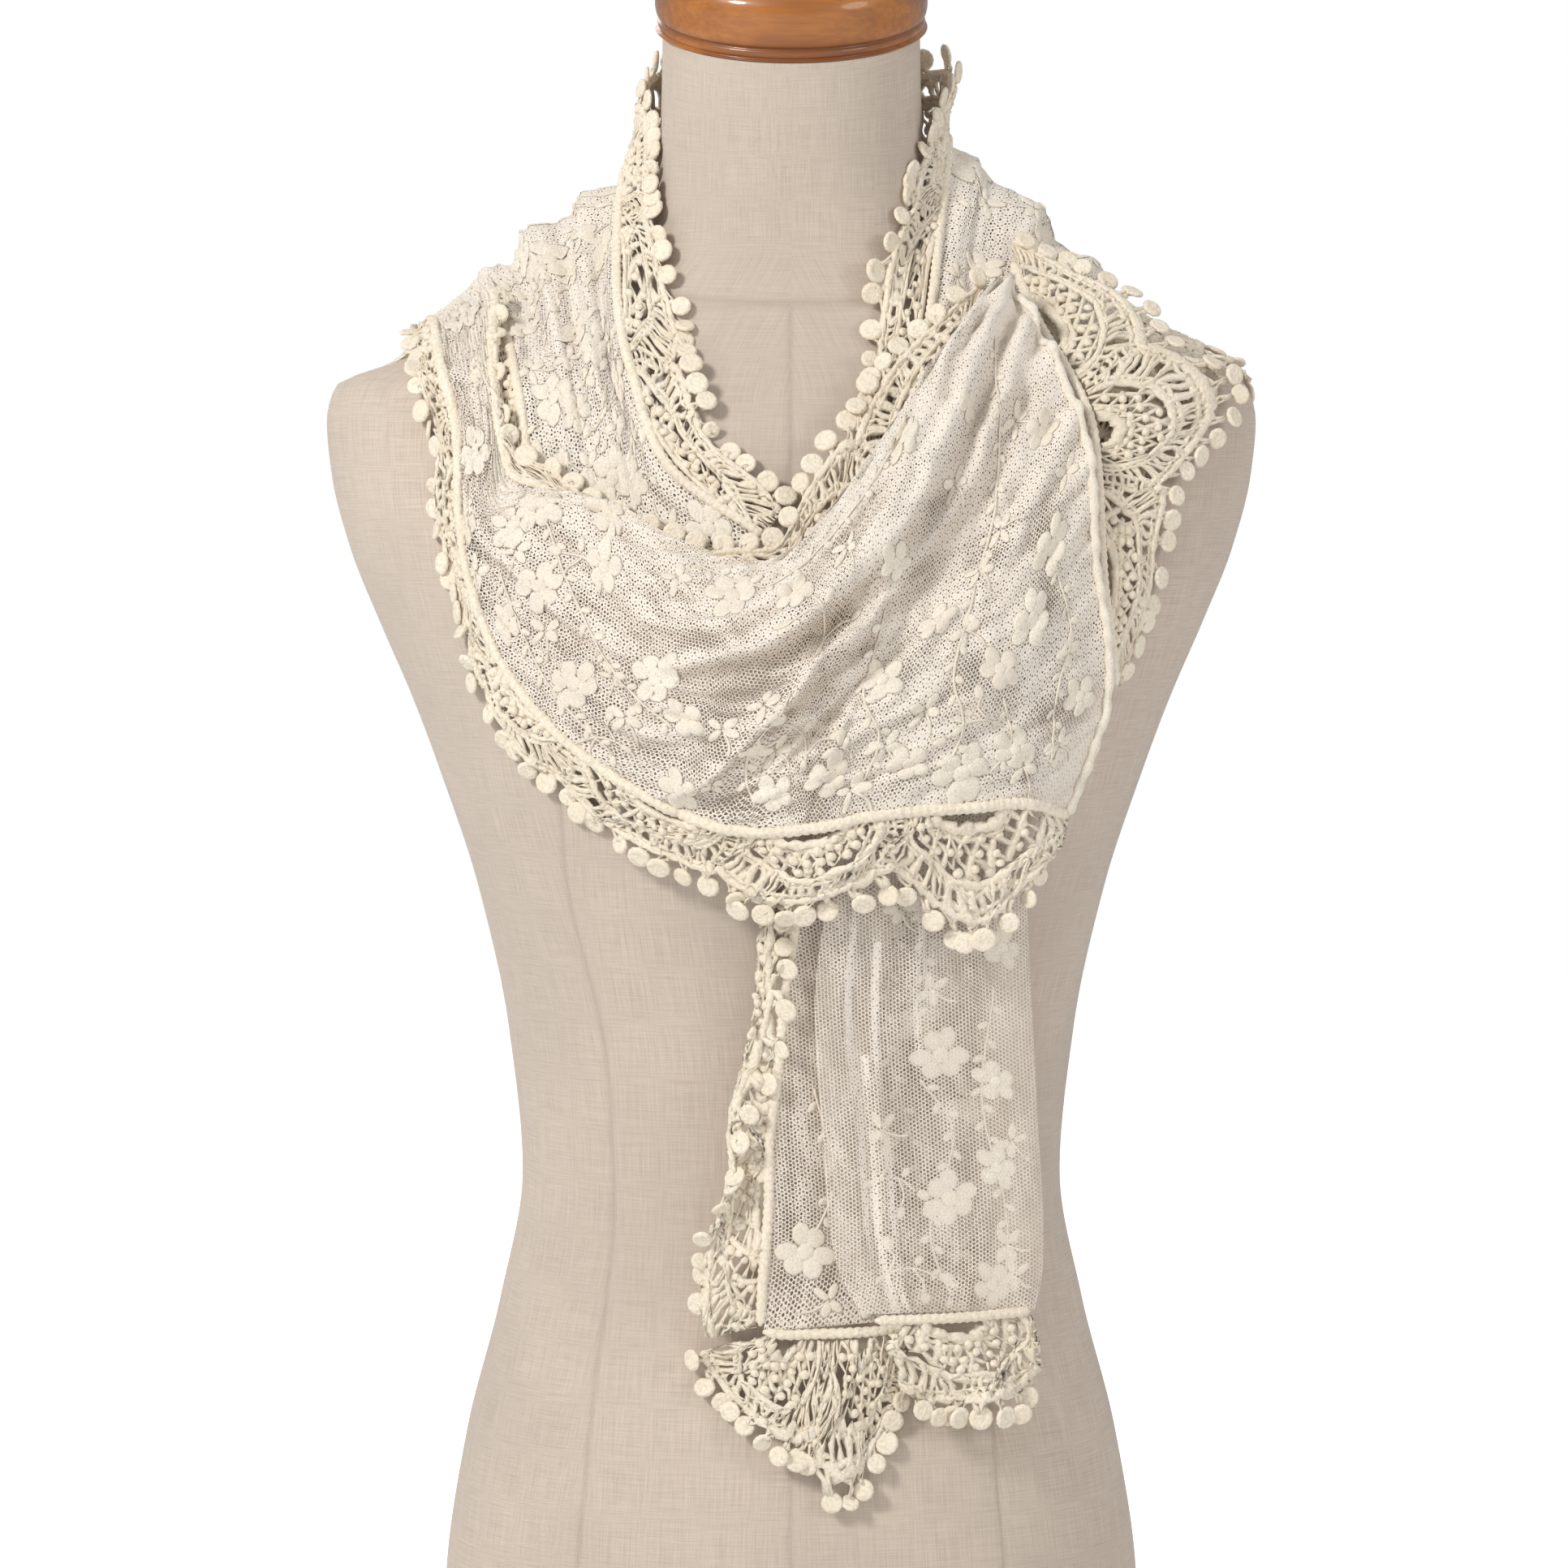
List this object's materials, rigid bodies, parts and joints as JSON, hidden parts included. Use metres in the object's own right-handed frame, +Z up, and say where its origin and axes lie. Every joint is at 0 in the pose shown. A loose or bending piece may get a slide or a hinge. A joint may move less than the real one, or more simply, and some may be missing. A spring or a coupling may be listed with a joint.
{
  "type": "lace shawl on a dress form",
  "caption": "Light shawl of embroidered net with scalloped crochet lace trim, wound round the neck of a limbless linen dress form, one end hanging down the front.",
  "frame": {"origin": "on the underside of the base board, under the middle of the neck", "axes": "+Z up, -Y the wearer's front, +X the wearer's left"},
  "size_m": [0.3855, 0.2776, 0.7569],
  "materials": {
    "linen": "plain-woven linen cover",
    "wood": "varnished",
    "net": "fine cotton net with satin-stitch flowers",
    "lace": "matt crocheted cotton"
  },
  "bodies": {
    "root": {"base_board": "wood", "neck_cap": "wood", "form_torso": "linen", "net_right_shoulder": "net", "net_back": "net", "net_left_shoulder": "net", "net_cowl": "net", "net_tail": "net", "trim_neck_right": "lace", "trim_neck_back": "lace", "trim_neck_left": "lace", "trim_outer_right": "lace", "trim_outer_back": "lace", "trim_outer_left": "lace", "trim_cowl_top": "lace", "trim_hem": "lace", "trim_panel_end": "lace", "trim_tail_side": "lace", "trim_tail_end_back": "lace", "trim_tail_end_front": "lace"}
  },
  "joints": []
}
